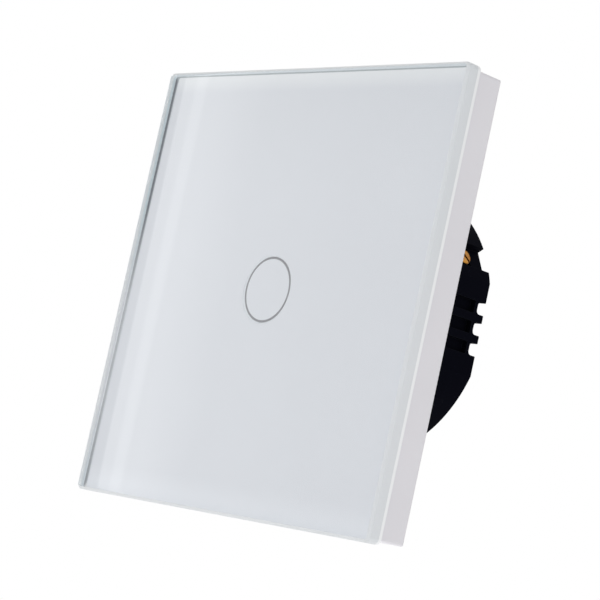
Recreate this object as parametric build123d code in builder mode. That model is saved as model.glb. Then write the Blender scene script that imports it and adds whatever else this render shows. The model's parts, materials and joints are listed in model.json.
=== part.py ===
from build123d import *
import os
from math import cos, radians, sin

os.makedirs("parts", exist_ok=True)

# Touch dimmer switch for a round wall box, in millimetres.
# The origin is the centre of the frame's back edge, in the surface of the wall.
# X runs to the right as the user sees it, Y runs into the wall and Z runs up.

# Glass panel
panel_size = 80.0
glass_thickness = 3.0
glass_corner = 1.5
glass_bevel = 0.45

# White print on the back of the glass, with the grey touch ring in it
film_thickness = 0.15
film_margin = 0.5
ring_radius = 6.0
ring_width = 0.38
ring_depth = 0.06

# Panel frame
frame_depth = 5.35
frame_inset = 0.67
frame_corner = 0.4
frame_wall = 1.6
frame_plate = 1.4
window_gap = 3.9
window_corner = 3.0
tape_thickness = 0.4
tape_land = 1.1
tape_gap = 0.1
gusset_reach = 2.0
gusset_thickness = 1.0
gusset_height = 2.3
gusset_pitch = 30.0
pry_width = 14.0
pry_depth = 1.5

# Snap hooks of the frame and the lugs that they pass on the carrier
hook_pitch = 40.0
hook_width = 7.0
hook_thickness = 1.2
hook_length = 2.25
hook_barb = 0.4
hook_lead = 0.3
snap_gap = 0.05
lug_reach = 0.5
lug_height = 0.6
lug_extra = 1.0

# Mounting strap and the screw slots of a standard wall box
strap_gap = 2.23
strap_thickness = 1.0
strap_corner = 3.0
screw_slot_width = 4.0
screw_slot_length = 7.0
screw_slot_inset = 5.5
strap_lap = 2.45
strap_flat_lap = 2.78

# Front carrier
carrier_margin = 2.5
carrier_plate = 1.8
carrier_corner = 3.0
screw_access_width = 10.0
screw_access_depth = 4.6
board_wall = 1.2
board_wall_height = 1.6
board_gap = 0.2

# Touch board and what stands on it
touch_board_size = 46.4
touch_board_thickness = 1.0
guide_width = 2.0
guide_height = 1.4
sensor_gap = 0.6
sensor_height = 1.35
led_length = 1.6
led_width = 0.8
led_height = 0.6
led_gap = 0.25
led_count = 4
chip_length = 4.9
chip_width = 3.9
chip_height = 1.25
chip_pitch = 1.27
chip_leg = 0.4
chip_leg_reach = 1.0
chip_leg_height = 0.25
chip_place = (-14.0, -9.0)
chip_part_length = 1.6
chip_part_width = 0.8
chip_part_height = 0.5
chip_part_place = (-14.0, -15.0)
chip_part_pitch = 2.6
board_screw_inset = 3.2
board_screw_shank = 0.8
board_screw_head = 1.7
board_screw_head_height = 0.8
board_screw_length = 2.3

# Pin header that joins the two boards
pin_count = 6
pin_pitch = 2.54
pin_width = 0.6
pin_front = 0.3
pin_insert = 1.8
pin_play = 0.1
socket_floor = 0.4
strip_height = 2.5
strip_width = 2.5
strip_gap = 0.1
link_inset = 8.75
link_window_gap = 1.0

# Back box, which stands a little above the panel's centre
box_rise = 1.3
box_radius = 24.45
flat_relief = 1.47
box_depth = 23.6
box_wall = 1.7
flat_wall = 2.48
rim_height = 1.8
rim_chamfer = 0.15
flat_edge_fillet = 0.5
groove_count = 3
groove_pitch = 3.65
groove_width = 2.2
groove_depth = 1.2
groove_end = 0.7
notch_depth = 1.95
notch_fillet = 0.7
rib_fillet = 0.35

# Rear cover and the screws that hold the case together
cover_thickness = 1.2
cover_gap = 0.15
wire_entry_radius = 1.6
wire_entry_chamfer = 0.3
vent_count = 4
vent_pitch = 2.6
vent_length = 9.0
vent_width = 1.2
case_screw_inset = 5.25
case_screw_angles = (90.0, -35.0, -145.0)
case_screw_shank = 1.0
case_screw_head = 1.9
case_screw_head_height = 1.4
case_screw_reach = 1.2
screw_play = 0.2
running_play = 0.08
thread_play = 0.05
boss_radius = 2.5
boss_web = 1.5
pillar_radius = 2.4

# Terminals: a captive screw draws a cage outward against a bar
terminal_count = 4
terminal_first_angle = 31.0
screw_recess = 0.75
terminal_head = 1.5
terminal_head_height = 1.4
terminal_shank = 1.25
terminal_slot_angles = (37.0, 96.0, 12.0, 148.0)
head_slot_width = 0.5
head_slot_depth = 0.6
head_seat_gap = 0.1
pocket_width = 5.0
pocket_floor = 1.0
pocket_margin = 0.5
bridge_recess = 1.6
cage_width = 4.8
cage_wall = 0.8
cage_top = 1.0
cage_length = 3.7
cage_fillet = 0.35
cage_travel = 2.0
cage_end_gap = 0.1
cage_side_gap = 0.15
wire_space = 3.0
bar_width = 2.6
bar_thickness = 0.8
bar_gap = 0.2
bar_foot = 2.4
bay_fin = 1.0
bay_lip = 0.3
bay_length = 8.3

# Power board and its parts
power_board_thickness = 1.6
power_board_gap = 0.35
board_standoff = 2.4
lead_radius = 0.35
lead_height = 0.4
triac_width = 10.0
triac_thickness = 4.5
triac_tab = 6.2
triac_clearance = 0.7
triac_tab_thickness = 1.3
triac_lead_pitch = 2.54
tab_hole_radius = 1.7
tab_hole_inset = 2.8
sink_gap = 1.2
sink_clearance = 2.3
sink_thickness = 1.5
sink_foot = 4.0
sink_foot_gap = 0.25
sink_screw_head = 2.6
sink_screw_head_height = 1.8
sink_screw_shank = 1.5
sink_nut_radius = 3.0
sink_nut_height = 2.2
can_fillet = 0.5
crimp_height = 1.6
crimp_width = 0.7
crimp_depth = 0.35
reservoir_height = 11.6
film_cap_length = 13.0
film_cap_width = 5.5
film_cap_height = 10.0
film_cap_gap = 2.4
choke_height = 9.0
choke_flange = 1.2
choke_winding_inset = 0.4
choke_winding_depth = 1.6
fuse_radius = 4.2
fuse_height = 7.6
fuse_gap = 1.3
varistor_radius = 4.2
varistor_thickness = 3.4
varistor_gap = 3.6
middle_rise = 2.4
middle_gap = 2.4
bay_gap = 2.6
side_drop = 2.6

# Depths of the layers, worked out from the sizes above
frame_front = -frame_depth
film_front = frame_front - film_thickness
film_size = panel_size - 2 * film_margin
frame_size = panel_size - 2 * frame_inset
frame_inner = frame_size - 2 * frame_wall
strap_size = frame_inner - 2 * strap_gap
box_screw_spacing = strap_size - 2 * screw_slot_inset
carrier_size = strap_size - 2 * carrier_margin
board_wall_inner = touch_board_size + 2 * board_gap
board_wall_outer = board_wall_inner + 2 * board_wall
frame_window = board_wall_outer + 2 * window_gap
plate_front = frame_front + tape_thickness
plate_back = plate_front + frame_plate
strap_front = -strap_thickness
carrier_front = strap_front - carrier_plate
touch_front = carrier_front - touch_board_thickness
power_front = board_standoff
power_back = power_front + power_board_thickness
cover_back = box_depth - rim_height
cover_front = cover_back - cover_thickness
box_flat = box_radius - flat_relief
cavity_radius = box_radius - box_wall
link_drop = cavity_radius - link_inset
cavity_flat = box_flat - flat_wall
case_screw_circle = box_radius - case_screw_inset
case_screw_length = cover_back + case_screw_reach

# Radii of the parts of a terminal, from its screw head inward
screw_face_radius = box_radius - screw_recess
pocket_radius = screw_face_radius - terminal_head_height - head_seat_gap
roof_radius = pocket_radius - pocket_floor
bridge_radius = box_radius - bridge_recess
cage_outer = roof_radius - cage_end_gap - cage_travel
bar_outer = cage_outer - cage_top - bar_gap
bar_inner = bar_outer - bar_thickness
cage_inner = bar_inner - wire_space - cage_wall
wire_radius = bar_inner - wire_space / 2
cage_back = cover_front - cage_end_gap
terminal_depth = cage_back - cage_length / 2
bay_inner = cage_inner - bay_lip
bay_width = cage_width + 2 * cage_side_gap
terminal_range = 180.0 - 2 * terminal_first_angle
terminal_step = terminal_range / (terminal_count - 1)
terminal_angles = [terminal_first_angle + terminal_step * i for i in range(terminal_count)]

# Places of the power board's parts, worked out from the walls, bays and bosses round them
middle_radius = (bay_inner - middle_gap - bay_gap) / 2
middle_place = middle_gap + middle_radius
winding_radius = middle_radius - choke_winding_inset
choke_waist = winding_radius - choke_winding_depth
film_cap_drop = cavity_radius - film_cap_gap - film_cap_width / 2
triac_drop = film_cap_drop - film_cap_width / 2 - sink_foot_gap - sink_foot - sink_thickness
triac_height = cover_front - triac_clearance - power_back - lead_height
sink_height = cover_front - sink_clearance - power_back
fuse_place = (fuse_gap + fuse_radius - cavity_flat, -side_drop)
varistor_place = (cavity_flat - varistor_gap - varistor_thickness / 2, -side_drop)


def wall_plane(depth):
    """Parallel to the wall and this far behind its surface, facing the room."""
    return Plane.XZ.offset(-depth)


def box_plane(depth):
    """The same, centred on the back box."""
    return Plane(origin=(0, depth, box_rise), x_dir=(1, 0, 0), z_dir=(0, -1, 0))


def bay_plane(angle, depth):
    """Parallel to the wall, with its Y axis along the radius of one terminal."""
    turn = radians(angle)
    return Plane(origin=(0, depth, box_rise), x_dir=(sin(turn), 0, -cos(turn)), z_dir=(0, -1, 0))


def radial_plane(angle, radius, depth):
    """Square to a radius of the back box, facing outward."""
    turn = radians(angle)
    origin = (radius * cos(turn), depth, box_rise + radius * sin(turn))
    return Plane(origin=origin, x_dir=(-sin(turn), 0, cos(turn)), z_dir=(cos(turn), 0, sin(turn)))


def around(radius, angles):
    """Places at these angles on a circle, in the plane of the sketch."""
    return [(radius * cos(radians(a)), radius * sin(radians(a))) for a in angles]


def box_outline(radius, flat):
    """A circle with a vertical flat at each side: the back box and what fits it."""
    Circle(radius)
    Rectangle(2 * flat, 2 * radius, mode=Mode.INTERSECT)


def terminal_locations(radius):
    """Places of the terminals on the back box, each with its X axis along the radius."""
    return PolarLocations(radius, terminal_count, terminal_first_angle, terminal_range, endpoint=True)


def ring_outline():
    """The printed touch ring."""
    Circle(ring_radius + ring_width / 2)
    Circle(ring_radius - ring_width / 2, mode=Mode.SUBTRACT)


def headed_screw(seat, head, head_height, shank, length, drive, drive_angle=0.0):
    """A screw with its head on the plane seat and one drive slot, or two that cross."""
    with BuildPart() as screw:
        with BuildSketch(seat):
            Circle(head)
        extrude(amount=head_height)
        head_face = screw.faces().sort_by(Axis(seat.origin, seat.z_dir))[-1]
        chamfer(head_face.edges(), head_height / 6)
        with BuildSketch(seat):
            Circle(shank)
        extrude(amount=-length)
        with BuildSketch(seat.offset(head_height)):
            for i in range(drive):
                Rectangle(2.2 * head, head_slot_width, rotation=drive_angle + 90 * i)
        extrude(amount=-head_slot_depth, mode=Mode.SUBTRACT)
    return screw.part


def save(piece, label):
    """Name a finished piece and write it."""
    piece.part.label = label
    export_step(piece.part, f"parts/{label}.step")


# Glass panel: both rims are bevelled and polished
with BuildPart() as glass_panel:
    with BuildSketch(wall_plane(film_front)):
        RectangleRounded(panel_size, panel_size, glass_corner)
    extrude(amount=glass_thickness)
    glass_faces = glass_panel.faces().sort_by(Axis.Y)
    chamfer(glass_faces[0].edges() + glass_faces[-1].edges(), glass_bevel)
save(glass_panel, "glass_panel")

# White print, with a groove for the ring that was printed first
with BuildPart() as panel_film:
    with BuildSketch(wall_plane(frame_front)):
        RectangleRounded(film_size, film_size, glass_corner - film_margin)
    extrude(amount=film_thickness)
    with BuildSketch(wall_plane(film_front + ring_depth)):
        ring_outline()
    extrude(amount=ring_depth, mode=Mode.SUBTRACT)
save(panel_film, "panel_film")

with BuildPart() as ring_print:
    with BuildSketch(wall_plane(film_front + ring_depth)):
        ring_outline()
    extrude(amount=ring_depth)
save(ring_print, "ring_print")

# Tape between the print and the frame, in the frame's front pocket
pocket_size = frame_size - 2 * tape_land
tape_size = pocket_size - 2 * tape_gap
with BuildPart() as panel_tape:
    with BuildSketch(wall_plane(plate_front)):
        Rectangle(tape_size, tape_size)
        RectangleRounded(frame_window, frame_window, window_corner, mode=Mode.SUBTRACT)
    extrude(amount=tape_thickness)
save(panel_tape, "panel_tape")

# Snap hook, drawn in section at the right side of the frame
lug_face = carrier_size / 2 + lug_reach
barb_face = lug_face + snap_gap
hook_inner = barb_face + hook_barb
hook_outer = hook_inner + hook_thickness
hook_end = plate_back + hook_length
lug_back = carrier_front + lug_height
barb_front = lug_back + snap_gap
with BuildPart() as snap_hook:
    with BuildSketch(Plane.XY):
        with BuildLine():
            Polyline(
                (hook_inner, plate_back),
                (hook_outer, plate_back),
                (hook_outer, hook_end),
                (hook_inner, hook_end),
                (barb_face, hook_end - hook_lead),
                (barb_face, barb_front + hook_lead),
                (hook_inner, barb_front),
                close=True,
            )
        make_face()
    extrude(amount=hook_width / 2, both=True)

# Panel frame: open box with a front plate, gussets, hooks and a slot for prying it off
with BuildPart() as panel_frame:
    with BuildSketch(wall_plane(0)):
        Rectangle(frame_size, frame_size)
    extrude(amount=frame_depth)
    fillet(panel_frame.edges().filter_by(Axis.Y), frame_corner)
    with BuildSketch(wall_plane(plate_front)):
        Rectangle(pocket_size, pocket_size)
    extrude(amount=tape_thickness, mode=Mode.SUBTRACT)
    with BuildSketch(wall_plane(0)):
        Rectangle(frame_inner, frame_inner)
    extrude(amount=-plate_back, mode=Mode.SUBTRACT)
    with BuildSketch(wall_plane(plate_back)):
        RectangleRounded(frame_window, frame_window, window_corner)
    extrude(amount=frame_plate, mode=Mode.SUBTRACT)
    with BuildSketch(wall_plane(plate_back + gusset_height)):
        with PolarLocations((frame_inner - gusset_reach) / 2, 4):
            with GridLocations(gusset_reach, gusset_pitch, 1, 3):
                Rectangle(gusset_reach, gusset_thickness)
    extrude(amount=gusset_height)
    for side in range(4):
        for place in (-hook_pitch / 2, hook_pitch / 2):
            add(snap_hook.part.moved(Location((0, 0, place))).rotate(Axis.Y, 90 * side))
    with BuildSketch(wall_plane(0)):
        with Locations((0, -(frame_size - frame_wall) / 2)):
            Rectangle(pry_width, 2 * frame_wall)
    extrude(amount=pry_depth, mode=Mode.SUBTRACT)
save(panel_frame, "panel_frame")

# Mounting strap: steel plate with the four slots of a wall box
with BuildPart() as mounting_strap:
    with BuildSketch(wall_plane(0)):
        RectangleRounded(strap_size, strap_size, strap_corner)
        with PolarLocations(box_screw_spacing / 2, 4):
            SlotOverall(screw_slot_length, screw_slot_width, mode=Mode.SUBTRACT)
    extrude(amount=strap_thickness)
    with BuildSketch(box_plane(0)):
        box_outline(box_radius - strap_lap, box_flat - strap_flat_lap)
    extrude(amount=strap_thickness, mode=Mode.SUBTRACT)
save(mounting_strap, "mounting_strap")

# Front carrier: plate with room for the box screws, a wall round the touch board and three pillars
access_radius = box_screw_spacing / 2 + screw_slot_length / 2 - screw_access_depth + screw_access_width / 2
case_screw_places = around(case_screw_circle, case_screw_angles)
board_screw_offset = touch_board_size / 2 - board_screw_inset
board_screw_places = [(-board_screw_offset, board_screw_offset), (board_screw_offset, -board_screw_offset)]
link_length = pin_count * pin_pitch
with BuildPart() as front_carrier:
    with BuildSketch(wall_plane(strap_front)):
        RectangleRounded(carrier_size, carrier_size, carrier_corner)
    extrude(amount=carrier_plate)
    with BuildSketch(wall_plane(carrier_front)):
        Rectangle(board_wall_outer, board_wall_outer)
        Rectangle(board_wall_inner, board_wall_inner, mode=Mode.SUBTRACT)
    extrude(amount=board_wall_height)
    with BuildSketch(wall_plane(lug_back)):
        with PolarLocations(carrier_size / 2, 4):
            with GridLocations(carrier_size, hook_pitch, 1, 2):
                Rectangle(2 * lug_reach, hook_width + lug_extra)
    extrude(amount=lug_height)
    with BuildSketch(wall_plane(strap_front)):
        with PolarLocations(access_radius, 4):
            Circle(screw_access_width / 2)
            with Locations((carrier_size / 4, 0)):
                Rectangle(carrier_size / 2, screw_access_width)
    extrude(amount=carrier_plate, mode=Mode.SUBTRACT)
    with BuildSketch(box_plane(power_front)):
        with Locations(*case_screw_places):
            Circle(pillar_radius)
    extrude(amount=power_front - strap_front)
    with BuildSketch(box_plane(power_front)):
        with Locations(*case_screw_places):
            Circle(case_screw_shank + thread_play)
    extrude(amount=case_screw_length - cover_back + power_front + screw_play, mode=Mode.SUBTRACT)
    with BuildSketch(wall_plane(carrier_front)):
        with Locations(*board_screw_places):
            Circle(board_screw_shank + thread_play)
    extrude(amount=touch_board_thickness - board_screw_length - thread_play, mode=Mode.SUBTRACT)
    with BuildSketch(wall_plane(strap_front)):
        with Locations((0, -link_drop)):
            Rectangle(link_length + 2 * link_window_gap, strip_width + 2 * link_window_gap)
    extrude(amount=carrier_plate, mode=Mode.SUBTRACT)
save(front_carrier, "front_carrier")

# Touch board, which lies in the carrier behind the glass
with BuildPart() as touch_board:
    with BuildSketch(wall_plane(carrier_front)):
        Rectangle(touch_board_size, touch_board_size)
        with Locations(*board_screw_places):
            Circle(board_screw_shank + screw_play, mode=Mode.SUBTRACT)
        with Locations((0, -link_drop)):
            with GridLocations(pin_pitch, 1, pin_count, 1):
                Rectangle(pin_width, pin_width, mode=Mode.SUBTRACT)
    extrude(amount=touch_board_thickness)
save(touch_board, "touch_board")

# Light guide: clear ring with a pocket over each light
guide_outer = ring_radius + guide_width / 2
with BuildPart() as light_guide:
    with BuildSketch(wall_plane(touch_front)):
        Circle(guide_outer)
        Circle(guide_outer - guide_width, mode=Mode.SUBTRACT)
    extrude(amount=guide_height)
    with BuildSketch(wall_plane(touch_front)):
        with PolarLocations(ring_radius, led_count, start_angle=45):
            Rectangle(led_width + 2 * led_gap, led_length + 2 * led_gap)
    extrude(amount=led_height + led_gap, mode=Mode.SUBTRACT)
save(light_guide, "light_guide")

with BuildPart() as indicator_leds:
    with BuildSketch(wall_plane(touch_front)):
        with PolarLocations(ring_radius, led_count, start_angle=45):
            Rectangle(led_width, led_length)
    extrude(amount=led_height)
save(indicator_leds, "indicator_leds")

with BuildPart() as sensor_pad:
    with BuildSketch(wall_plane(touch_front)):
        Circle(guide_outer - guide_width - sensor_gap)
    extrude(amount=sensor_height)
    fillet(sensor_pad.faces().sort_by(Axis.Y)[0].edges(), sensor_height / 4)
save(sensor_pad, "sensor_pad")

# Touch controller with its eight legs, and the small parts beside it
with BuildPart() as touch_chip:
    with BuildSketch(wall_plane(touch_front)):
        with Locations(chip_place):
            Rectangle(chip_length, chip_width)
    extrude(amount=chip_height)
    with BuildSketch(wall_plane(touch_front)):
        with Locations(chip_place):
            with GridLocations(chip_pitch, 1, 4, 1):
                Rectangle(chip_leg, chip_width + 2 * chip_leg_reach)
    extrude(amount=chip_leg_height)
save(touch_chip, "touch_chip")

with BuildPart() as chip_parts:
    with BuildSketch(wall_plane(touch_front)):
        with Locations(chip_part_place):
            with GridLocations(chip_part_pitch, chip_part_pitch, 3, 2):
                Rectangle(chip_part_length, chip_part_width)
    extrude(amount=chip_part_height)
save(chip_parts, "chip_parts")

board_screw_list = [
    headed_screw(
        Plane(origin=(x, touch_front, z), x_dir=(1, 0, 0), z_dir=(0, -1, 0)),
        board_screw_head,
        board_screw_head_height,
        board_screw_shank,
        board_screw_length,
        drive=2,
        drive_angle=20 + x,
    )
    for x, z in board_screw_places
]
with BuildPart() as board_screws:
    add(board_screw_list)
save(board_screws, "board_screws")

# Pin header: strip, pins and the socket on the power board
strip_back = carrier_front + strip_height
socket_front = strip_back + strip_gap
with BuildPart() as link_strip:
    with BuildSketch(wall_plane(strip_back)):
        with Locations((0, -link_drop)):
            Rectangle(link_length, strip_width)
            with GridLocations(pin_pitch, 1, pin_count, 1):
                Rectangle(pin_width, pin_width, mode=Mode.SUBTRACT)
    extrude(amount=strip_height)
save(link_strip, "link_strip")

with BuildPart() as link_pins:
    with BuildSketch(wall_plane(socket_front + pin_insert)):
        with Locations((0, -link_drop)):
            with GridLocations(pin_pitch, 1, pin_count, 1):
                Rectangle(pin_width, pin_width)
    extrude(amount=socket_front + pin_insert - touch_front + pin_front)
save(link_pins, "link_pins")

with BuildPart() as link_socket:
    with BuildSketch(wall_plane(power_front)):
        with Locations((0, -link_drop)):
            Rectangle(link_length, strip_width)
    extrude(amount=power_front - socket_front)
    with BuildSketch(wall_plane(power_front - socket_floor)):
        with Locations((0, -link_drop)):
            with GridLocations(pin_pitch, 1, pin_count, 1):
                Rectangle(pin_width + 2 * pin_play, pin_width + 2 * pin_play)
    extrude(amount=power_front - socket_floor - socket_front, mode=Mode.SUBTRACT)
save(link_socket, "link_socket")

# Back box: moulded shell with a notched rim, ribbed flats, screw bosses and four terminal bays
pocket_front = terminal_depth - terminal_head - pocket_margin
pocket_back = terminal_depth + terminal_head + pocket_margin
bay_outer = box_radius - box_wall / 2
bay_block = bay_width + 2 * bay_fin
with BuildPart() as back_box:
    with BuildSketch(box_plane(box_depth)):
        box_outline(box_radius, box_flat)
    extrude(amount=box_depth)
    fillet(back_box.edges().filter_by(Axis.Y), flat_edge_fillet)
    chamfer(back_box.faces().sort_by(Axis.Y)[-1].edges(), rim_chamfer)
    with BuildSketch(box_plane(box_depth)):
        box_outline(cavity_radius, cavity_flat)
    extrude(amount=box_depth, mode=Mode.SUBTRACT)
    # Bays that guide the cages, and bosses for the case screws
    with BuildSketch(box_plane(cover_front)):
        with terminal_locations((bay_inner + bay_outer) / 2):
            Rectangle(bay_outer - bay_inner, bay_block)
    extrude(amount=bay_length)
    # Bridges that close the pockets behind the cover's edge
    with BuildSketch(box_plane(box_depth)):
        with terminal_locations((roof_radius + bay_outer) / 2):
            Rectangle(bay_outer - roof_radius, bay_block)
    extrude(amount=box_depth - cover_front)
    with BuildSketch(box_plane(cover_front)):
        for boss_angle in case_screw_angles:
            with PolarLocations(case_screw_circle, 1, boss_angle):
                Circle(boss_radius)
                with Locations((box_wall + boss_radius / 2, 0)):
                    Rectangle(2 * box_wall + boss_radius / 2, boss_web)
    extrude(amount=cover_front - power_back)
    with BuildSketch(box_plane(cover_front)):
        with Locations(*case_screw_places):
            Circle(case_screw_shank + screw_play)
    extrude(amount=cover_front - power_back, mode=Mode.SUBTRACT)
    with BuildSketch(box_plane(cover_front)):
        with terminal_locations((bay_inner + roof_radius) / 2 - bay_lip):
            Rectangle(roof_radius - bay_inner + 2 * bay_lip, bay_width)
    extrude(amount=bay_length, mode=Mode.SUBTRACT)
    # Pockets that lead a screwdriver to the terminal screws, shallower where they run out at the rim
    with BuildSketch(box_plane(box_depth)):
        with terminal_locations(bridge_radius + 2 * box_wall):
            Rectangle(4 * box_wall, pocket_width)
    extrude(amount=box_depth - pocket_front, mode=Mode.SUBTRACT)
    with BuildSketch(box_plane(pocket_back)):
        with terminal_locations(pocket_radius + 2 * box_wall):
            Rectangle(4 * box_wall, pocket_width)
    extrude(amount=pocket_back - pocket_front, mode=Mode.SUBTRACT)
    for angle in terminal_angles:
        with BuildSketch(radial_plane(angle, pocket_radius, terminal_depth)):
            Circle(terminal_shank + running_play)
        extrude(amount=-(pocket_radius - roof_radius + cage_end_gap), mode=Mode.SUBTRACT)
    # Grooves in the flats, each closed by a short wall before a rounded notch in the rim
    groove_back = box_depth - notch_depth - groove_end
    with BuildSketch(box_plane(groove_back)):
        with GridLocations(2 * box_flat, groove_pitch, 2, groove_count):
            Rectangle(2 * groove_depth, groove_width)
    extrude(amount=groove_back, mode=Mode.SUBTRACT)
    with BuildSketch(Plane.YZ) as notches:
        with Locations((box_depth, box_rise)):
            with GridLocations(1, groove_pitch, 1, groove_count):
                Rectangle(2 * notch_depth, groove_width)
        with Locations((box_depth + notch_depth, box_rise)):
            Rectangle(2 * notch_depth, (groove_count + 1) * groove_pitch)
        fillet(notches.vertices().group_by(Axis.X)[1].sort_by(Axis.Y)[1:-1], rib_fillet)
        fillet(notches.vertices().group_by(Axis.X)[0], notch_fillet)
    extrude(amount=box_radius, both=True, mode=Mode.SUBTRACT)
save(back_box, "back_box")

# Rear cover: plate inside the rim, cut out round the pockets, with wire entries and vents
wire_places = around(wire_radius, terminal_angles)
with BuildPart() as rear_cover:
    with BuildSketch(box_plane(cover_back)):
        box_outline(cavity_radius - cover_gap, cavity_flat - cover_gap)
        with terminal_locations(roof_radius + box_wall - cover_gap):
            Rectangle(2 * box_wall, bay_block + 2 * cover_gap, mode=Mode.SUBTRACT)
        with Locations(*case_screw_places):
            Circle(case_screw_shank + screw_play, mode=Mode.SUBTRACT)
        with Locations(*wire_places):
            Circle(wire_entry_radius, mode=Mode.SUBTRACT)
        with Locations((0, -triac_drop)):
            with GridLocations(1, vent_pitch, 1, vent_count):
                SlotOverall(vent_length, vent_width, mode=Mode.SUBTRACT)
    extrude(amount=cover_thickness)
    rear_circles = rear_cover.faces().sort_by(Axis.Y)[-1].edges().filter_by(GeomType.CIRCLE)
    chamfer(rear_circles.group_by(SortBy.RADIUS)[1], wire_entry_chamfer)
save(rear_cover, "rear_cover")

case_screw_list = [
    headed_screw(
        Plane(origin=(x, cover_back, box_rise + z), x_dir=(1, 0, 0), z_dir=(0, 1, 0)),
        case_screw_head,
        case_screw_head_height,
        case_screw_shank,
        case_screw_length,
        drive=2,
        drive_angle=3 * x + z,
    )
    for x, z in case_screw_places
]
with BuildPart() as case_screws:
    add(case_screw_list)
save(case_screws, "case_screws")

# Power board
with BuildPart() as power_board:
    with BuildSketch(box_plane(power_back)):
        box_outline(cavity_radius - power_board_gap, cavity_flat - power_board_gap)
        with Locations(*case_screw_places):
            Circle(case_screw_shank + screw_play, mode=Mode.SUBTRACT)
    extrude(amount=power_board_thickness)
save(power_board, "power_board")

# Terminal bars, which stand on the power board and run through the cages
with BuildPart() as terminal_bars:
    for angle in terminal_angles:
        with BuildSketch(bay_plane(angle, cage_back)):
            with Locations((0, (bar_inner + bar_outer) / 2)):
                Rectangle(bar_width, bar_thickness)
        extrude(amount=cage_back - power_back)
        with BuildSketch(bay_plane(angle, power_back + bar_thickness)):
            with Locations((0, bar_outer - bar_foot / 2)):
                Rectangle(bar_width, bar_foot)
        extrude(amount=bar_thickness)
save(terminal_bars, "terminal_bars")

# Clamp cages and terminal screws
for number, (angle, slot_angle) in enumerate(zip(terminal_angles, terminal_slot_angles), 1):
    with BuildPart() as clamp_cage:
        with BuildSketch(bay_plane(angle, cage_back)):
            with Locations((0, (cage_inner + cage_outer) / 2)):
                RectangleRounded(cage_width, cage_outer - cage_inner, cage_fillet)
            with Locations((0, (cage_inner + cage_wall + cage_outer - cage_top) / 2)):
                Rectangle(
                    cage_width - 2 * cage_wall,
                    cage_outer - cage_top - cage_inner - cage_wall,
                    mode=Mode.SUBTRACT,
                )
        extrude(amount=cage_length)
        with BuildSketch(radial_plane(angle, cage_outer, terminal_depth)):
            Circle(terminal_shank + thread_play)
        extrude(amount=-cage_top, mode=Mode.SUBTRACT)
    save(clamp_cage, f"clamp_cage_{number}")
    seat_radius = screw_face_radius - terminal_head_height
    with BuildPart() as terminal_screw:
        add(
            headed_screw(
                radial_plane(angle, seat_radius, terminal_depth),
                terminal_head,
                terminal_head_height,
                terminal_shank,
                seat_radius - bar_outer - bar_gap / 2,
                drive=1,
                drive_angle=slot_angle,
            )
        )
    save(terminal_screw, f"terminal_screw_{number}")

# Power semiconductor: body, metal tab and three leads, lying on its heat sink
triac_seat = box_rise - triac_drop
triac_body = triac_height - triac_tab
tab_depth = power_back + lead_height + triac_height - tab_hole_inset
with BuildPart() as dimmer_triac:
    with BuildSketch(Plane.XY.offset(triac_seat)):
        with Locations((0, power_back + lead_height + triac_body / 2)):
            Rectangle(triac_width, triac_body)
    extrude(amount=triac_thickness)
    with BuildSketch(Plane.XY.offset(triac_seat)):
        with Locations((0, power_back + lead_height + triac_body + triac_tab / 2)):
            Rectangle(triac_width, triac_tab)
        with Locations((0, tab_depth)):
            Circle(tab_hole_radius, mode=Mode.SUBTRACT)
    extrude(amount=triac_tab_thickness)
    with BuildSketch(box_plane(power_back + lead_height)):
        with Locations((0, triac_thickness / 2 - triac_drop)):
            with GridLocations(triac_lead_pitch, 1, 3, 1):
                Circle(lead_radius)
    extrude(amount=lead_height)
save(dimmer_triac, "dimmer_triac")

# Heat sink: bent aluminium plate with a foot on the board, between two of the bosses
sink_half_width = case_screw_places[1][0] - boss_radius - sink_gap
with BuildPart() as heat_sink:
    with BuildSketch(Plane.YZ):
        with BuildLine():
            Polyline(
                (power_back, triac_seat),
                (power_back + sink_height, triac_seat),
                (power_back + sink_height, triac_seat - sink_thickness),
                (power_back + sink_thickness, triac_seat - sink_thickness),
                (power_back + sink_thickness, triac_seat - sink_thickness - sink_foot),
                (power_back, triac_seat - sink_thickness - sink_foot),
                close=True,
            )
        make_face()
    extrude(amount=sink_half_width, both=True)
    bend_edges = heat_sink.edges().filter_by(Axis.X)
    fillet(bend_edges.sort_by_distance((0, power_back, triac_seat))[0], sink_thickness)
    with BuildSketch(Plane.XY.offset(triac_seat)):
        with Locations((0, tab_depth)):
            Circle(tab_hole_radius)
    extrude(amount=-sink_thickness, mode=Mode.SUBTRACT)
save(heat_sink, "heat_sink")

sink_stack = triac_tab_thickness + sink_thickness + sink_nut_height
with BuildPart() as heat_sink_screw:
    add(
        headed_screw(
            Plane(origin=(0, tab_depth, triac_seat + triac_tab_thickness)),
            sink_screw_head,
            sink_screw_head_height,
            sink_screw_shank,
            sink_stack + screw_play,
            drive=2,
        )
    )
save(heat_sink_screw, "heat_sink_screw")

with BuildPart() as heat_sink_nut:
    with BuildSketch(Plane.XY.offset(triac_seat - sink_thickness)):
        with Locations((0, tab_depth)):
            RegularPolygon(sink_nut_radius, 6)
            Circle(sink_screw_shank + thread_play, mode=Mode.SUBTRACT)
    extrude(amount=-sink_nut_height)
save(heat_sink_nut, "heat_sink_nut")

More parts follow.
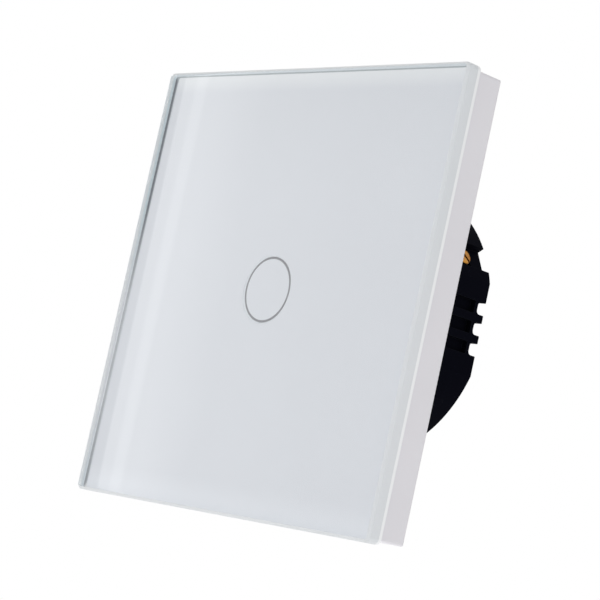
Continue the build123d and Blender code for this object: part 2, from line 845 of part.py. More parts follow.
# Reservoir capacitor: can with a crimp above its foot
reservoir_place = (-middle_place, middle_rise)
with BuildPart() as reservoir_capacitor:
    with BuildSketch(box_plane(power_back + lead_height)):
        with Locations(reservoir_place):
            Circle(middle_radius)
    extrude(amount=-reservoir_height)
    fillet(reservoir_capacitor.edges().filter_by(GeomType.CIRCLE), can_fillet)
    with BuildSketch(box_plane(power_back + lead_height + crimp_height)):
        with Locations(reservoir_place):
            Circle(middle_radius)
            Circle(middle_radius - crimp_depth, mode=Mode.SUBTRACT)
    extrude(amount=-crimp_width, mode=Mode.SUBTRACT)
    with BuildSketch(box_plane(power_back + lead_height)):
        with Locations(reservoir_place):
            with GridLocations(middle_radius, 1, 2, 1):
                Circle(lead_radius)
    extrude(amount=lead_height)
save(reservoir_capacitor, "reservoir_capacitor")

with BuildPart() as film_capacitor:
    with BuildSketch(box_plane(power_back + lead_height)):
        with Locations((0, -film_cap_drop)):
            Rectangle(film_cap_length, film_cap_width)
    extrude(amount=-film_cap_height)
    fillet(film_capacitor.faces().sort_by(Axis.Y)[-1].edges(), can_fillet)
    with BuildSketch(box_plane(power_back + lead_height)):
        with Locations((0, -film_cap_drop)):
            with GridLocations(film_cap_length - 2 * can_fillet - 2 * lead_radius, 1, 2, 1):
                Circle(lead_radius)
    extrude(amount=lead_height)
save(film_capacitor, "film_capacitor")

# Choke: ferrite bobbin and the winding in its waist
choke_axis = Plane(
    origin=(middle_place, power_back, box_rise + middle_rise), x_dir=(1, 0, 0), z_dir=(0, 0, 1)
)
with BuildPart() as choke_core:
    with BuildSketch(choke_axis):
        with BuildLine():
            Polyline(
                (0, 0),
                (middle_radius, 0),
                (middle_radius, choke_flange),
                (choke_waist, choke_flange),
                (choke_waist, choke_height - choke_flange),
                (middle_radius, choke_height - choke_flange),
                (middle_radius, choke_height),
                (0, choke_height),
                close=True,
            )
        make_face()
    revolve(axis=Axis(choke_axis.origin, (0, 1, 0)))
save(choke_core, "choke_core")

with BuildPart() as choke_winding:
    with BuildSketch(choke_axis):
        with BuildLine():
            Polyline(
                (choke_waist + thread_play, choke_flange),
                (winding_radius, choke_flange),
                (winding_radius, choke_height - choke_flange),
                (choke_waist + thread_play, choke_height - choke_flange),
                close=True,
            )
        make_face()
    revolve(axis=Axis(choke_axis.origin, (0, 1, 0)))
save(choke_winding, "choke_winding")

# Fuse and varistor
with BuildPart() as fuse:
    with BuildSketch(box_plane(power_back + lead_height)):
        with Locations(fuse_place):
            Circle(fuse_radius)
    extrude(amount=-fuse_height)
    fillet(fuse.faces().sort_by(Axis.Y)[-1].edges(), can_fillet)
    with BuildSketch(box_plane(power_back + lead_height)):
        with Locations(fuse_place):
            with GridLocations(fuse_radius, 1, 2, 1):
                Circle(lead_radius)
    extrude(amount=lead_height)
save(fuse, "fuse")

varistor_depth = power_back + 2 * lead_height + varistor_radius
varistor_height = box_rise + varistor_place[1]
with BuildPart() as varistor:
    with BuildSketch(Plane(origin=(varistor_place[0], varistor_depth, varistor_height), z_dir=(1, 0, 0))):
        Circle(varistor_radius)
    extrude(amount=varistor_thickness / 2, both=True)
    fillet(varistor.edges().filter_by(GeomType.CIRCLE), varistor_thickness / 4)
    with BuildSketch(box_plane(power_back)):
        with Locations(varistor_place):
            with GridLocations(1, varistor_radius, 1, 2):
                Circle(lead_radius)
    extrude(amount=-(varistor_depth - power_back))
save(varistor, "varistor")
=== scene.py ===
"""Looks of a touch dimmer switch: bevelled glass front, white frame and black back box.

Each sub-assembly is a class that dresses its CAD nodes and builds the meshes that they lack.
Everything is in metres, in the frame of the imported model: +X to the user's right, +Y into the
wall and +Z up.
"""
from __future__ import annotations

import json
import logging
import math
from dataclasses import dataclass
from enum import Enum
from typing import Any, Callable, ClassVar, Iterable, Optional, Protocol, Sequence

import bpy
from bpy.types import Light, Material, Node, NodeOutputs, NodeTree, Object, World
from bpy.types import NodeSocket as Socket
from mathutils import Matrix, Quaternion, Vector

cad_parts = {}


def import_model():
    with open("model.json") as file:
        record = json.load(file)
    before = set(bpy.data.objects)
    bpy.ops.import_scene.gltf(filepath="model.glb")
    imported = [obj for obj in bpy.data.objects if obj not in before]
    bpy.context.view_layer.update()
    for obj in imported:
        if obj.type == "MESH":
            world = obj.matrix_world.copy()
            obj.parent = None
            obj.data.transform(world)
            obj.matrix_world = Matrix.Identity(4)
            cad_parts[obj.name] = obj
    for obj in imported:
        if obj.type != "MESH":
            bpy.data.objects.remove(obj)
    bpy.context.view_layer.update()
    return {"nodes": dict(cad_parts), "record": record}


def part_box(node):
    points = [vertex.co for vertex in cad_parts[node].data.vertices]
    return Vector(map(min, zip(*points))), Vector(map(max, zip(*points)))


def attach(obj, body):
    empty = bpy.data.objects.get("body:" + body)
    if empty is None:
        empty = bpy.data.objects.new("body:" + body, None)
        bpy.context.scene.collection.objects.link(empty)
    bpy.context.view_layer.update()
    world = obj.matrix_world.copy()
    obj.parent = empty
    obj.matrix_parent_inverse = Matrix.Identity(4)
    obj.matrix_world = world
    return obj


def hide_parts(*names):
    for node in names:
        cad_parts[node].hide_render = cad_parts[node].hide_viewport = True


MM = 0.001
log = logging.getLogger("touch_dimmer")

Colour = tuple[float, float, float]
Point = tuple[float, float, float]
Range = tuple[float, float]

FLOAT = "NodeSocketFloat"
FALLING: Range = (1.0, 0.0)


class Body(str, Enum):
    """Moving bodies that the built meshes ride on."""

    BASE = "base"
    PANEL = "panel"


class Slot(str, Enum):
    """Material slots of the record."""

    CLEAR_GLASS = "clear_glass"
    WHITE_PRINT = "white_print"
    GREY_PRINT = "grey_print"
    FOAM_TAPE = "foam_tape"
    WHITE_PLASTIC = "white_plastic"
    BLACK_PLASTIC = "black_plastic"
    CLEAR_PLASTIC = "clear_plastic"
    LED_RESIN = "led_resin"
    CONDUCTIVE_FOAM = "conductive_foam"
    BOARD_GREEN = "board_green"
    CHIP_BLACK = "chip_black"
    CHIP_CERAMIC = "chip_ceramic"
    ZINC_STEEL = "zinc_steel"
    BRASS = "brass"
    GOLD_PINS = "gold_pins"
    ALUMINIUM = "aluminium"
    CAPACITOR_SLEEVE = "capacitor_sleeve"
    CAPACITOR_YELLOW = "capacitor_yellow"
    FERRITE = "ferrite"
    COPPER_WIRE = "copper_wire"
    FUSE_BROWN = "fuse_brown"
    VARISTOR_BLUE = "varistor_blue"


class Dressing(str, Enum):
    """Finishes of surfaces that share a slot with another finish."""

    GROUND_GLASS = "ground_glass"
    GLASS_SEAM = "glass_seam"
    SEAM_FOOT = "seam_foot"
    CLEAR_MARGIN = "clear_margin"


class Ends(Enum):
    """How the first and last loop of a lofted mesh are finished."""

    CAPPED = "capped"
    JOINED = "joined"


def rgba(colour: Colour) -> tuple[float, float, float, float]:
    """An opaque colour for a socket."""
    return (*colour, 1.0)


def scaled(colour: Colour, share: float) -> Colour:
    """A colour made darker or lighter by a share."""
    return tuple(share * part for part in colour)


class Graph:
    """A node tree that is being wired."""

    def __init__(self, tree: NodeTree) -> None:
        """Empty the tree and start wiring it."""
        self.tree = tree
        tree.nodes.clear()

    def feed(self, socket: Socket, value: Any) -> None:
        """Link a source to a socket, or set the socket's own value."""
        if isinstance(value, Socket):
            self.tree.links.new(value, socket)
        else:
            socket.default_value = value

    def add(self, kind: str, inputs: Optional[dict[Any, Any]] = None, **settings: Any) -> Node:
        """Add a node.

        Args:
            kind: Blender's type name of the node, without its ShaderNode in front.
            inputs: Values or source sockets, by the name or number of the input.
            settings: Properties of the node itself.

        Returns:
            The new node.
        """
        node = self.tree.nodes.new(f"ShaderNode{kind}")
        for name, value in settings.items():
            setattr(node, name, value)
        for name, value in (inputs or {}).items():
            self.feed(node.inputs[name], value)
        return node

    def group(self, tree: NodeTree, **sizes: float) -> NodeOutputs:
        """Add a shared group with its sizes and return its outputs."""
        return self.add("Group", sizes, node_tree=tree).outputs

    def place(self) -> Socket:
        """The place on the surface, in metres."""
        return self.add("TexCoord").outputs["Object"]

    def axes(self) -> NodeOutputs:
        """The X, Y and Z of the place on the surface."""
        return self.add("SeparateXYZ", {0: self.place()}).outputs

    def math(self, operation: str, *values: Any) -> Socket:
        """Add a maths node and return its result."""
        return self.add("Math", dict(enumerate(values)), operation=operation).outputs[0]

    def span(self, value: Any, low: float, high: float, to: Range = (0.0, 1.0)) -> Socket:
        """Map a value from low..high to the two values of to, clamped."""
        limits = {"From Min": low, "From Max": high, "To Min": to[0], "To Max": to[1]}
        return self.add("MapRange", {"Value": value, **limits}).outputs["Result"]

    def vary(self, share: Any, to: Range) -> Socket:
        """Map a share from 0..1 to the two values of to."""
        return self.span(share, 0.0, 1.0, to)

    def blend(self, share: Socket, first: Any, second: Any) -> Socket:
        """Mix two colours and return the mix, which is first where share is 0."""
        node = self.add("Mix", data_type="RGBA")
        for name, value in (("Factor_Float", share), ("A_Color", first), ("B_Color", second)):
            socket = next(s for s in node.inputs if s.identifier == name)
            self.feed(socket, rgba(value) if isinstance(value, tuple) else value)
        return next(s for s in node.outputs if s.identifier == "Result_Color")

    def bump(self, height: Socket, depth: float, normal: Any = None) -> Socket:
        """Bump the surface, or a normal, by a height of up to depth metres; return the normal."""
        inputs = {"Height": height, "Distance": depth}
        if normal is not None:
            inputs["Normal"] = normal
        return self.add("Bump", inputs).outputs["Normal"]

    def surface(self, inputs: dict[str, Any]) -> Socket:
        """Add the surface shader with its inputs and return its socket."""
        return self.add("BsdfPrincipled", inputs).outputs["BSDF"]

    def light_through(self, shader: Socket, through: Colour) -> Socket:
        """Let the lamps' light pass a shader, so that it reaches what lies behind.

        Args:
            shader: The shader as it is seen.
            through: Colour of the light that passes.

        Returns:
            The socket of both together.
        """
        clear = self.add("BsdfTransparent", {"Color": rgba(through)}).outputs["BSDF"]
        path = self.add("LightPath").outputs
        lit = self.math("MAXIMUM", path["Is Shadow Ray"], path["Is Diffuse Ray"])
        return self.add("MixShader", {0: lit, 1: shader, 2: clear}).outputs["Shader"]


class Effects:
    """Shader node groups that several finishes share, each built once."""

    _made: ClassVar[dict[str, NodeTree]] = {}

    @classmethod
    def _group(
        cls,
        name: str,
        inputs: dict[str, float],
        outputs: dict[str, str],
        wire: Callable[[Graph, NodeOutputs], dict[str, Socket]],
    ) -> NodeTree:
        """Build a group, or return the one that was built before.

        Args:
            name: Name of the group.
            inputs: Each number that it takes, with its default.
            outputs: Each output and its socket type.
            wire: Adds the nodes and returns the socket for each output.

        Returns:
            The node group.
        """
        if name in cls._made:
            return cls._made[name]
        tree = bpy.data.node_groups.new(name, "ShaderNodeTree")
        for label, default in inputs.items():
            number = tree.interface.new_socket(label, in_out="INPUT", socket_type=FLOAT)
            number.default_value = default
        for label, kind in outputs.items():
            tree.interface.new_socket(label, in_out="OUTPUT", socket_type=kind)
        graph = Graph(tree)
        results = wire(graph, tree.nodes.new("NodeGroupInput").outputs)
        ends = tree.nodes.new("NodeGroupOutput").inputs
        for label, socket in results.items():
            graph.feed(ends[label], socket)
        cls._made[name] = tree
        return tree

    @classmethod
    def grain(cls) -> NodeTree:
        """Moulded or cast grain: a fine height, and a slow cloud that varies colour and gloss."""

        def wire(graph: Graph, given: NodeOutputs) -> dict[str, Socket]:
            """Wire a fine and a slow noise."""
            place = graph.place()
            pitch = graph.math("DIVIDE", 1.0, given["Pitch"])
            fine = graph.add("TexNoise", {"Vector": place, "Scale": pitch, "Detail": 3.0})
            spread = graph.math("DIVIDE", 1.0, given["Cloud"])
            drift = {"Vector": place, "Scale": spread, "Detail": 2.0}
            slow = graph.add("TexNoise", drift).outputs["Fac"]
            return {"Height": fine.outputs["Fac"], "Cloud": graph.span(slow, low=0.3, high=0.7)}

        sizes = {"Pitch": 0.4 * MM, "Cloud": 20 * MM}
        return cls._group("surface_grain", sizes, {"Height": FLOAT, "Cloud": FLOAT}, wire)

    @classmethod
    def edges(cls) -> NodeTree:
        """Rounded edges: the softened normal, and a mask of the edges themselves."""

        def wire(graph: Graph, given: NodeOutputs) -> dict[str, Socket]:
            """Wire the softened normal, and the mask from how far it is off the true one."""
            radius = {"Radius": given["Radius"]}
            soft = graph.add("Bevel", radius, samples=6).outputs["Normal"]
            true = graph.add("NewGeometry").outputs["Normal"]
            both = {0: soft, 1: true}
            match = graph.add("VectorMath", both, operation="DOT_PRODUCT")
            return {"Normal": soft, "Edge": graph.span(match.outputs["Value"], low=0.99, high=0.8)}

        sockets = {"Normal": "NodeSocketVector", "Edge": FLOAT}
        return cls._group("rounded_edges", {"Radius": 0.15 * MM}, sockets, wire)

    @classmethod
    def brushing(cls) -> NodeTree:
        """Drawing or rolling lines of sheet and turned metal, long along X and short across."""

        def wire(graph: Graph, given: NodeOutputs) -> dict[str, Socket]:
            """Wire a noise that is drawn out along X."""
            stretch = {"Vector": graph.place(), "Scale": (0.04, 1.0, 1.0)}
            drawn = graph.add("Mapping", stretch).outputs["Vector"]
            pitch = graph.math("DIVIDE", 1.0, given["Pitch"])
            inputs = {"Vector": drawn, "Scale": pitch, "Detail": 2.0}
            return {"Lines": graph.add("TexNoise", inputs).outputs["Fac"]}

        return cls._group("brushing", {"Pitch": 0.3 * MM}, {"Lines": FLOAT}, wire)


class Finish(Protocol):
    """What every finish can do: make its material."""

    def wire(self, graph: Graph) -> Socket:
        """Wire it and return its shader."""


@dataclass(frozen=True)
class Moulding:
    """Moulded plastic, resin, rubber or fired ceramic.

    Attributes:
        colour: Its colour.
        shade: Colour that the slow cloud drifts to.
        edge_wear_and_highlight: Colour of the edges: paler where they are rubbed, with a painted
            highlight along them.
        roughness: Range of roughness over the cloud.
        specular: Strength of the reflection, 0.5 for plain plastic.
        grain: Pitch of the grain.
        depth: Depth of the grain.
        edge: Radius that the edges are rounded to.
        coat: Weight of a clear gloss coat.
    """

    colour: Colour
    shade: Colour
    edge_wear_and_highlight: Colour
    roughness: Range = (0.4, 0.5)
    specular: float = 0.5
    grain: float = 0.4 * MM
    depth: float = 0.004 * MM
    edge: float = 0.15 * MM
    coat: float = 0.0

    def wire(self, graph: Graph) -> Socket:
        """Wire it and return its shader."""
        grain = graph.group(Effects.grain(), Pitch=self.grain)
        edges = graph.group(Effects.edges(), Radius=self.edge)
        body = graph.blend(grain["Cloud"], self.colour, self.shade)
        # The edges turn paler: partly rubbed wear, partly a painted highlight along them.
        return graph.surface({
            "Base Color": graph.blend(edges["Edge"], body, self.edge_wear_and_highlight),
            "Roughness": graph.vary(grain["Cloud"], self.roughness),
            "Normal": graph.bump(grain["Height"], self.depth, edges["Normal"]),
            "Specular IOR Level": self.specular,
            "Coat Weight": self.coat,
            "Coat Roughness": 0.08,
        })


@dataclass(frozen=True)
class ClearSheet:
    """Clear glass or acrylic that the lamps shine through.

    Attributes:
        tint: Colour that it gives the light.
        roughness: Blur of its surface.
        ior: Index of refraction.
        through: Colour of the light that reaches what lies behind.
        smear: How much blurrier it is where it is smeared.
    """

    tint: Colour
    roughness: float
    ior: float
    through: Colour
    smear: float = 1.6

    def wire(self, graph: Graph) -> Socket:
        """Wire it and return its shader."""
        cloud = graph.group(Effects.grain())["Cloud"]
        inputs = {
            "Base Color": rgba(self.tint),
            "Roughness": graph.vary(cloud, (self.roughness, self.smear * self.roughness)),
            "IOR": self.ior,
            "Transmission Weight": 1.0,
        }
        return graph.light_through(graph.surface(inputs), self.through)


PRINT_WHITE: Colour = (0.737, 0.749, 0.79)


@dataclass(frozen=True)
class EdgeShade:
    """Painted light and shade round the panel's edge, as colours by side: on the glass's edge and
    as it shows through the glass.

    Attributes:
        side: Colours along the sides, just below their middle and towards both ends.
        top: Colour along the top.
        foot: Colour along the foot.
        fade: Distances from the middle between which the print turns into the side's shade.
        mitre: Half the width over which the shades change at a corner.
    """

    side: tuple[Colour, Colour]
    top: Colour
    foot: Colour
    fade: Optional[Range] = None
    mitre: float = 0.5 * MM

    def tone(self, graph: Graph) -> Socket:
        """The colour of the painted light and shade at each place round the panel."""
        parts = graph.axes()
        across, upright = (graph.math("ABSOLUTE", parts[axis]) for axis in ("X", "Z"))
        beside = graph.span(graph.math("SUBTRACT", across, upright), -self.mitre, self.mitre)
        # Painted light and shade: the sides change colour above their middle and partly again
        # towards the foot; the top and the foot take colours of their own.
        upper = graph.span(parts["Z"], low=-4 * MM, high=14 * MM)
        lower = graph.span(parts["Z"], low=-22 * MM, high=-40 * MM, to=(0.0, 0.6))
        side = graph.blend(graph.math("MAXIMUM", upper, lower), *self.side)
        if self.fade is not None:
            side = graph.blend(graph.span(across, *self.fade), PRINT_WHITE, side)
        above = graph.span(parts["Z"], low=-1 * MM, high=1 * MM)
        return graph.blend(beside, graph.blend(above, self.foot, self.top), side)

    def wire(self, graph: Graph) -> Socket:
        """Wire it and return its shader."""
        return graph.surface({
            "Base Color": self.tone(graph),
            "Roughness": graph.vary(graph.group(Effects.grain())["Cloud"], (0.6, 0.75)),
            "Specular IOR Level": 0.1,
        })


@dataclass(frozen=True)
class GroundSheet:
    """Ground edge of glass: pale and matt, with the fine scratches of the grinding belt.

    Attributes:
        colour: Colour of the ground surface, with painted light and shade by side.
        scratch: Share by which the scratches are darker.
        inside: Painted shade that it shows from inside the glass.
        clear: Share of the light that passes through it.
        through: Colour of the light that reaches what lies behind.
    """

    colour: EdgeShade
    scratch: float
    inside: EdgeShade
    clear: float = 0.0
    through: Colour = (0.85, 0.88, 0.9)

    def wire(self, graph: Graph) -> Socket:
        """Wire it and return its shader."""
        belt = graph.group(Effects.brushing(), Pitch=0.08 * MM)
        lines = graph.span(belt["Lines"], low=0.4, high=0.7)
        share = graph.math("MULTIPLY", lines, self.scratch)
        dark: Colour = (0.3, 0.32, 0.34)
        # Outside, the surface carries painted light and shade by side; from inside the glass it
        # shows painted shade.
        outside = graph.blend(share, self.colour.tone(graph), dark)
        behind = graph.add("NewGeometry").outputs["Backfacing"]
        inputs = {
            "Base Color": graph.blend(behind, outside, self.inside.tone(graph)),
            "Roughness": graph.vary(graph.group(Effects.grain())["Cloud"], (0.35, 0.5)),
            "Transmission Weight": self.clear,
            "IOR": 1.5,
            "Normal": graph.bump(lines, depth=0.002 * MM),
        }
        return graph.light_through(graph.surface(inputs), self.through)


@dataclass(frozen=True)
class ScreenPrint:
    """Ink printed through a mesh: even, with the faint cells of the mesh and a slow drift.

    Attributes:
        colour: Colour of the ink.
        thin: Colour where the ink lies thin.
        painted_light_bands: Painted light and shade on the ink, each as two heights between which
            the ink turns to a colour, and that colour.
        mesh: Pitch of the printing mesh.
    """

    colour: Colour
    thin: Colour
    painted_light_bands: tuple[tuple[float, float, Colour], ...] = ()
    mesh: float = 0.12 * MM

    def wire(self, graph: Graph) -> Socket:
        """Wire it and return its shader."""
        mesh = {"Vector": graph.place(), "Scale": 1.0 / self.mesh, "Randomness": 0.3}
        cells = graph.add("TexVoronoi", mesh).outputs["Distance"]
        held = graph.vary(cells, (0.6, 1.0))
        patch = graph.math("MULTIPLY", graph.group(Effects.grain())["Cloud"], held)
        ink = graph.blend(patch, self.colour, self.thin)
        height = graph.axes()["Z"]
        # Painted light and shade: the ink turns darker or paler in bands by height.
        for start, end, colour in self.painted_light_bands:
            ink = graph.blend(graph.span(height, start, end), ink, colour)
        return graph.surface({
            "Base Color": ink,
            "Roughness": graph.vary(cells, (0.5, 0.6)),
            "Specular IOR Level": 0.2,
        })


@dataclass(frozen=True)
class Metal:
    """Bare or plated metal.

    Attributes:
        colour: Its colour.
        dull: Its colour where it is tarnished.
        roughness: Range of roughness over the tarnish.
        line: Pitch of the rolling or drawing lines.
        depth: Depth of the lines.
        edge: Radius that the edges are rounded to.
        lacquer: Weight of a clear coat, as on enamelled wire.
        patch: Size of the tarnished patches.
        tarnish: Range over which the patches go from bright to dull.
    """

    colour: Colour
    dull: Colour
    roughness: Range = (0.22, 0.38)
    line: float = 0.3 * MM
    depth: float = 0.003 * MM
    edge: float = 0.1 * MM
    lacquer: float = 0.0
    patch: float = 4 * MM
    tarnish: Range = (0.0, 1.0)

    def wire(self, graph: Graph) -> Socket:
        """Wire it and return its shader."""
        cloud = graph.group(Effects.grain(), Cloud=self.patch)["Cloud"]
        lines = graph.group(Effects.brushing(), Pitch=self.line)["Lines"]
        edges = graph.group(Effects.edges(), Radius=self.edge)
        tarnish = graph.span(graph.math("MULTIPLY", cloud, lines), *self.tarnish)
        body = graph.blend(tarnish, self.colour, self.dull)
        return graph.surface({
            "Base Color": graph.blend(edges["Edge"], body, self.colour),
            "Metallic": 1.0,
            "Roughness": graph.vary(tarnish, self.roughness),
            "Normal": graph.bump(lines, self.depth, edges["Normal"]),
            "Coat Weight": self.lacquer,
        })


@dataclass(frozen=True)
class Laminate:
    """Circuit board: glass-fibre laminate under a green mask, with copper tracks and tinned pads.

    Attributes:
        mask: Colour of the mask over bare laminate.
        track: Colour of the mask over copper.
        tin: Colour of the pads.
        hole_shade: Painted shade where the holes in the pads are, as no hole is cut.
        pitch: Mean distance between tracks.
        pad_pitch: Mean distance between pads.
    """

    mask: Colour
    track: Colour
    tin: Colour = (0.62, 0.61, 0.58)
    hole_shade: Colour = (0.02, 0.02, 0.02)
    pitch: float = 2.6 * MM
    pad_pitch: float = 4.8 * MM

    def wire(self, graph: Graph) -> Socket:
        """Wire it and return its shader."""
        parts = graph.axes()
        flat = graph.add("CombineXYZ", {"X": parts["X"], "Y": parts["Z"]}).outputs[0]
        route = {"Vector": flat, "Scale": 1.0 / self.pitch, "Randomness": 0.9}
        lay = {"voronoi_dimensions": "2D", "distance": "MANHATTAN"}
        near, far = (
            graph.add("TexVoronoi", route, feature=feature, **lay).outputs["Distance"]
            for feature in ("F1", "F2")
        )
        # Tracks run where two cells meet. Each span falls from copper, or from the painted hole
        # shade, to none.
        tracks = graph.span(graph.math("SUBTRACT", far, near), low=0.1, high=0.16, to=FALLING)
        drill = {"Vector": flat, "Scale": 1.0 / self.pad_pitch, "Randomness": 0.8}
        pad = graph.add("TexVoronoi", drill, voronoi_dimensions="2D")
        reach = pad.outputs["Distance"]
        pads = graph.span(reach, low=0.11, high=0.125, to=FALLING)
        # Painted shade: a dark dot stands for each pad's hole.
        holes = graph.span(reach, low=0.04, high=0.05, to=FALLING)
        cloud = graph.group(Effects.grain())["Cloud"]
        shaded = graph.blend(cloud, self.mask, scaled(self.mask, share=0.8))
        tinned = graph.blend(pads, graph.blend(tracks, shaded, self.track), self.tin)
        return graph.surface({
            "Base Color": graph.blend(holes, tinned, self.hole_shade),
            "Metallic": graph.math("SUBTRACT", pads, holes),
            "Roughness": graph.vary(cloud, (0.22, 0.34)),
            "Normal": graph.bump(graph.math("MAXIMUM", tracks, pads), depth=0.03 * MM),
        })


@dataclass(frozen=True)
class Sleeve:
    """Shrunk sleeve of an electrolytic capacitor that stands along Y, with its can's bare end.

    Attributes:
        node: CAD node of the capacitor.
        sleeve: Colour of the sleeve.
        stripe: Colour of the stripe that marks the negative lead.
        can: Colour of the bare can.
        lip: Width of the sleeve's lip on the end of the can.
    """

    node: str
    sleeve: Colour
    stripe: Colour
    can: Colour
    lip: float = 0.7 * MM

    def wire(self, graph: Graph) -> Socket:
        """Wire it and return its shader."""
        low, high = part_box(self.node)
        middle = (low + high) / 2
        parts = graph.axes()
        x = graph.math("SUBTRACT", parts["X"], middle.x)
        z = graph.math("SUBTRACT", parts["Z"], middle.z)
        angle = graph.math("ABSOLUTE", graph.math("ARCTAN2", x, z))
        stripe = graph.span(angle, low=2.62, high=2.66)
        squares = (graph.math("MULTIPLY", side, side) for side in (x, z))
        radius = graph.math("SQRT", graph.math("ADD", *squares))
        rim = (high.x - low.x) / 2 - self.lip
        inside = graph.span(radius, low=rim - 0.05 * MM, high=rim, to=FALLING)
        end = graph.span(parts["Y"], low=high.y - 0.8 * MM, high=high.y - 0.7 * MM)
        bare = graph.math("MULTIPLY", inside, end)
        score = graph.math("MINIMUM", *(graph.math("ABSOLUTE", side) for side in (x, z)))
        cross = graph.span(score, low=0.06 * MM, high=0.16 * MM, to=FALLING)
        groove = graph.math("MULTIPLY", bare, cross)
        cloud = graph.group(Effects.grain())["Cloud"]
        sleeve = graph.blend(cloud, self.sleeve, scaled(self.sleeve, share=1.4))
        return graph.surface({
            "Base Color": graph.blend(bare, graph.blend(stripe, sleeve, self.stripe), self.can),
            "Metallic": bare,
            "Roughness": graph.vary(cloud, (0.22, 0.34)),
            "Normal": graph.bump(graph.math("SUBTRACT", 1.0, groove), depth=0.1 * MM),
        })


@dataclass(frozen=True)
class WovenSkin:
    """Conductive cloth over foam: a plain weave of fine plated threads.

    Attributes:
        thread: Colour of the threads.
        gap: Colour between them.
        pitch: Pitch of the threads.
        bands: Scale of the weave's waves at a pitch of one metre.
    """

    thread: Colour
    gap: Colour
    pitch: float = 0.3 * MM
    bands: float = 0.05

    def wire(self, graph: Graph) -> Socket:
        """Wire it and return its shader."""
        bands = {"Vector": graph.place(), "Scale": self.bands / self.pitch, "Distortion": 0.3}
        waves = (
            graph.add("TexWave", bands, bands_direction=direction).outputs["Fac"]
            for direction in ("X", "Z")
        )
        weave = graph.math("MULTIPLY", *waves)
        return graph.surface({
            "Base Color": graph.blend(weave, self.gap, self.thread),
            "Metallic": 0.6,
            "Roughness": graph.vary(weave, (0.6, 0.35)),
            "Normal": graph.bump(weave, depth=0.04 * MM),
        })


# Painted highlight: the bright line along the back of the glass's side wall, a little darker along
# the foot.
SEAM_PAINTED_HIGHLIGHT = EdgeShade(
    ((0.93, 0.94, 0.95), (0.93, 0.94, 0.95)), top=(0.93, 0.94, 0.95), foot=(0.88, 0.89, 0.9)
)

